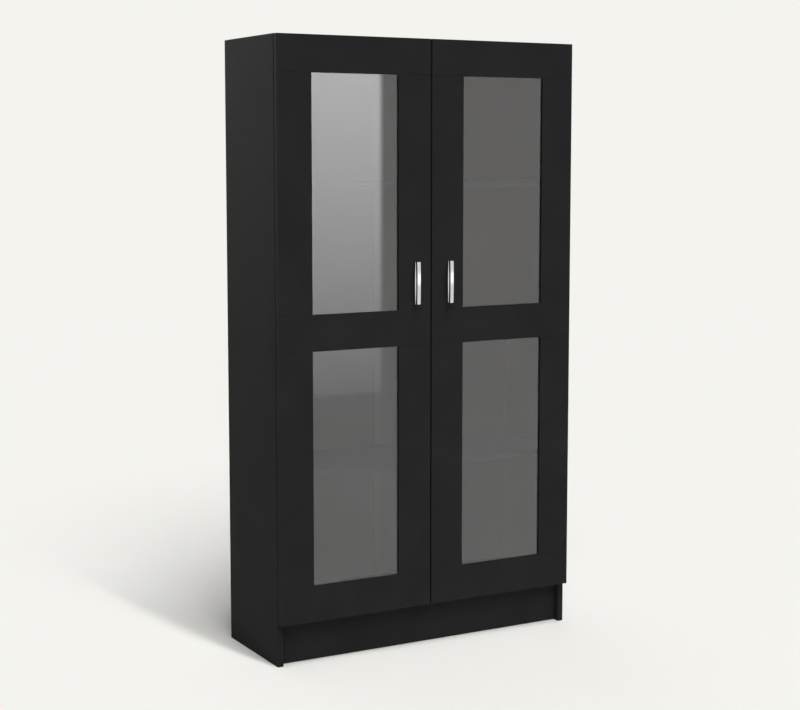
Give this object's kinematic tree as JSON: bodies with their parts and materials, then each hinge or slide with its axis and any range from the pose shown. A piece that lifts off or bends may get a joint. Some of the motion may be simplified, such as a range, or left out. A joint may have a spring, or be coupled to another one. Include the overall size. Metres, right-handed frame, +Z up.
{
  "type": "display cabinet",
  "caption": "Tall floor-standing display cabinet on a recessed plinth, with framed glass doors on concealed hinges, bar handles and shelves behind them.",
  "frame": {"origin": "on the floor, midway across the width and midway between the front of the handles and the back edges", "axes": "+Z up, +X to the right seen from the front, +Y to the back, so the doors face -Y"},
  "size_m": [0.825, 0.322, 1.5],
  "materials": {
    "black_board": "matte black melamine on particle board",
    "back_board": "thin lacquered fibre board, matte black",
    "black_plastic": "moulded, satin black",
    "glass": "clear, polished",
    "chrome": "bright chrome plating",
    "hinge_steel": "nickel-plated pressed steel",
    "clear_rubber": "soft translucent grey"
  },
  "bodies": {
    "carcass": {"left_side_panel": "black_board", "right_side_panel": "black_board", "top_panel": "black_board", "bottom_panel": "black_board", "plinth_board": "black_board", "lower_shelf": "black_board", "middle_shelf": "black_board", "upper_shelf": "black_board", "left_back_board": "back_board", "right_back_board": "back_board", "back_joining_strip": "black_plastic", "lower_shelf_left_front_pin": "black_plastic", "lower_shelf_left_rear_pin": "black_plastic", "lower_shelf_right_front_pin": "black_plastic", "lower_shelf_right_rear_pin": "black_plastic", "upper_shelf_left_front_pin": "black_plastic", "upper_shelf_left_rear_pin": "black_plastic", "upper_shelf_right_front_pin": "black_plastic", "upper_shelf_right_rear_pin": "black_plastic", "left_lower_hinge_arm": "hinge_steel", "left_middle_hinge_arm": "hinge_steel", "left_upper_hinge_arm": "hinge_steel", "right_lower_hinge_arm": "hinge_steel", "right_middle_hinge_arm": "hinge_steel", "right_upper_hinge_arm": "hinge_steel", "left_wall_hanger": "hinge_steel", "right_wall_hanger": "hinge_steel"},
    "left_door": {"left_door_top_rail": "black_board", "left_door_middle_rail": "black_board", "left_door_bottom_rail": "black_board", "left_door_upper_outer_stile": "black_board", "left_door_upper_inner_stile": "black_board", "left_door_lower_outer_stile": "black_board", "left_door_lower_inner_stile": "black_board", "left_door_upper_pane": "glass", "left_door_lower_pane": "glass", "left_handle": "chrome", "left_handle_lower_screw": "hinge_steel", "left_handle_upper_screw": "hinge_steel", "left_lower_hinge_cup": "hinge_steel", "left_middle_hinge_cup": "hinge_steel", "left_upper_hinge_cup": "hinge_steel", "left_door_bumper": "clear_rubber"},
    "right_door": {"right_door_top_rail": "black_board", "right_door_middle_rail": "black_board", "right_door_bottom_rail": "black_board", "right_door_upper_outer_stile": "black_board", "right_door_upper_inner_stile": "black_board", "right_door_lower_outer_stile": "black_board", "right_door_lower_inner_stile": "black_board", "right_door_upper_pane": "glass", "right_door_lower_pane": "glass", "right_handle": "chrome", "right_handle_lower_screw": "hinge_steel", "right_handle_upper_screw": "hinge_steel", "right_lower_hinge_cup": "hinge_steel", "right_middle_hinge_cup": "hinge_steel", "right_upper_hinge_cup": "hinge_steel", "right_door_bumper": "clear_rubber"}
  },
  "joints": [
    {"name": "left_door_swing", "type": "hinge", "parent": "carcass", "child": "left_door", "pos_m": [-0.4057, -0.1334, 0.8], "axis": [0, 0, -1], "range_deg": [0, 100]},
    {"name": "right_door_swing", "type": "hinge", "parent": "carcass", "child": "right_door", "pos_m": [0.4057, -0.1334, 0.8], "axis": [0, 0, 1], "range_deg": [0, 100]}
  ]
}
